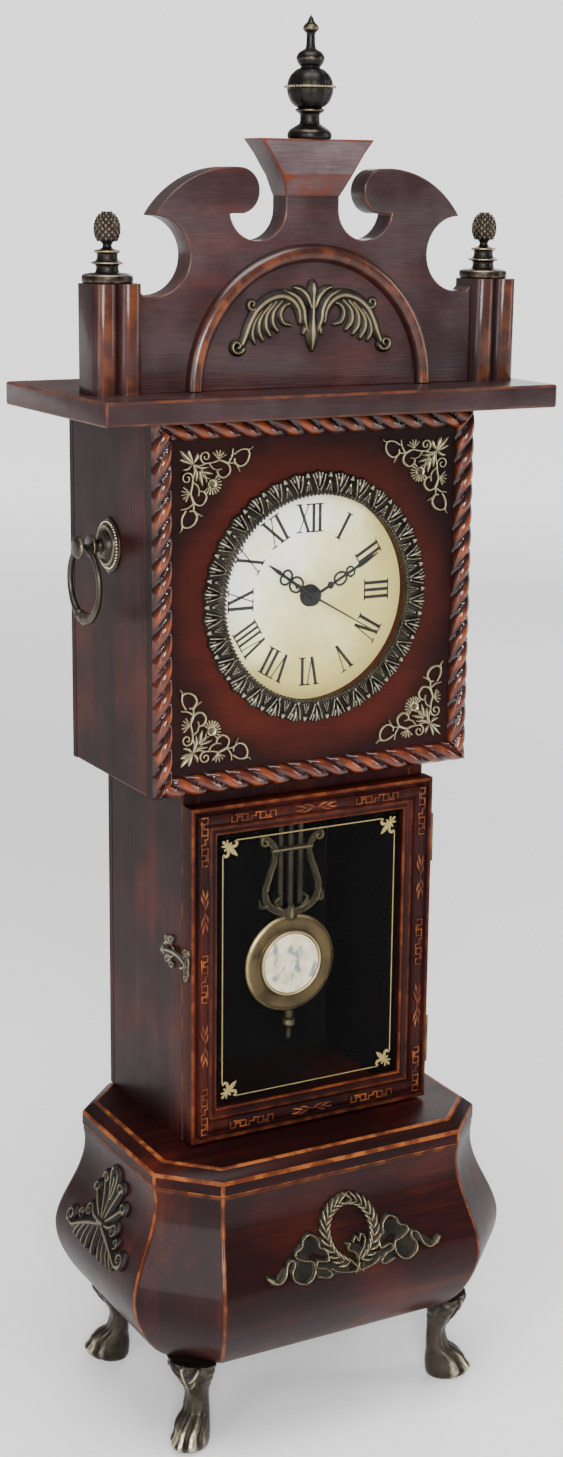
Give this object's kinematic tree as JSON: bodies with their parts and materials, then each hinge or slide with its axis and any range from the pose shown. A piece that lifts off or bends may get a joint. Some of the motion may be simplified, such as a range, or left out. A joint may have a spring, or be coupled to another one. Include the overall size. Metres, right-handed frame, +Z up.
{
  "type": "grandfather clock",
  "caption": "Table-top longcase clock with a swelling plinth on paw feet, a glazed pendulum door, a round dial in a square hood and a swan-neck crest.",
  "frame": {"origin": "middle of the floor under the plinth", "axes": "+Z up, the dial faces -Y, +X to the right as seen from the front"},
  "size_m": [0.228, 0.1576, 0.6571],
  "materials": {
    "mahogany": "satin, red-brown",
    "antique_brass": "antiqued, dark in the recesses",
    "plated_steel": "satin",
    "clear_glass": "clear",
    "printed_dial": "aged paper",
    "black_plastic": "matte",
    "gear_plastic": "satin",
    "black_steel": "satin black",
    "copper_coil": "enamelled wire",
    "battery_can": "gloss",
    "fibreboard": "matte"
  },
  "bodies": {
    "case": {"arch_bead": "mahogany", "back_panel": "fibreboard", "base_back_panel": "mahogany", "base_bottom_board": "mahogany", "base_corner_panels": "mahogany", "base_front_panel": "mahogany", "base_side_panels": "mahogany", "base_top_board": "mahogany", "battery": "battery_can", "bezel": "antique_brass", "case_screws": "plated_steel", "centre_finial": "antique_brass", "cornice_slab": "mahogany", "crest_board": "mahogany", "crest_mount": "antique_brass", "dial": "printed_dial", "dial_glass": "clear_glass", "drive_coil": "copper_coil", "feet": "antique_brass", "fixing_nut": "antique_brass", "hinge_case_leaves": "plated_steel", "hinge_pins": "plated_steel", "hood_floor": "mahogany", "hood_front": "mahogany", "hood_sides": "mahogany", "keystone": "mahogany", "latch_plate": "antique_brass", "movement_case": "black_plastic", "movement_cover": "black_plastic", "pilasters": "mahogany", "pull_rosettes": "antique_brass", "rope_mouldings": "mahogany", "side_finials": "antique_brass", "side_mounts": "antique_brass", "spandrels": "antique_brass", "trunk_frame": "mahogany", "wreath_mount": "antique_brass"},
    "door": {"door_stiles": "mahogany", "door_rails": "mahogany", "door_glass": "clear_glass", "glass_beads": "mahogany", "hinge_door_leaves": "plated_steel", "latch_keeper": "antique_brass"},
    "latch": {"latch_hook": "antique_brass"},
    "pendulum": {"pendulum_rocker": "black_plastic", "pendulum_rods": "antique_brass", "pendulum_lyre": "antique_brass", "pendulum_bob": "antique_brass", "bob_face": "printed_dial", "rating_nut": "antique_brass"},
    "minute_work": {"minute_hand": "black_steel", "minute_arbor": "gear_plastic"},
    "hour_work": {"hour_hand": "black_steel", "hour_wheel": "gear_plastic"},
    "second_work": {"second_hand": "black_steel", "second_arbor": "gear_plastic"},
    "motion_work": {"motion_wheel": "gear_plastic", "set_knob": "black_plastic"},
    "ring_left": {"pull_ring_left": "antique_brass"},
    "ring_right": {"pull_ring_right": "antique_brass"}
  },
  "joints": [
    {"name": "door_swing", "type": "hinge", "parent": "case", "child": "door", "pos_m": [0.0661, -0.02335, 0.228], "axis": [0, 0, 1], "range_deg": [0, 110]},
    {"name": "latch_swing", "type": "hinge", "parent": "case", "child": "latch", "pos_m": [-0.0675, -0.009, 0.23717], "axis": [-1, 0, 0], "range_deg": [0, 80]},
    {"name": "pendulum_swing", "type": "hinge", "parent": "case", "child": "pendulum", "pos_m": [0, -0.009, 0.356], "axis": [0, 1, 0], "range_deg": [-6, 6]},
    {"name": "minute_turn", "type": "hinge", "parent": "case", "child": "minute_work", "pos_m": [0, -0.028, 0.4026], "axis": [0, 1, 0], "continuous": true},
    {"name": "hour_turn", "type": "hinge", "parent": "case", "child": "hour_work", "pos_m": [0, -0.027, 0.4026], "axis": [0, 1, 0], "continuous": true},
    {"name": "motion_turn", "type": "hinge", "parent": "case", "child": "motion_work", "pos_m": [0.01131, -0.01, 0.41391], "axis": [0, 1, 0], "continuous": true},
    {"name": "second_turn", "type": "hinge", "parent": "case", "child": "second_work", "pos_m": [0, -0.029, 0.4026], "axis": [0, 1, 0], "continuous": true},
    {"name": "ring_left_swing", "type": "hinge", "parent": "case", "child": "ring_left", "pos_m": [-0.0953, 0.014, 0.426], "axis": [0, 1, 0], "range_deg": [-14, 100]},
    {"name": "ring_right_swing", "type": "hinge", "parent": "case", "child": "ring_right", "pos_m": [0.0953, 0.014, 0.426], "axis": [0, -1, 0], "range_deg": [-14, 100]}
  ],
  "couplings": [
    {"joint": "hour_turn", "follows": "minute_turn", "ratio": 0.083333},
    {"joint": "motion_turn", "follows": "minute_turn", "ratio": -0.33333},
    {"joint": "second_turn", "follows": "minute_turn", "ratio": 60}
  ]
}
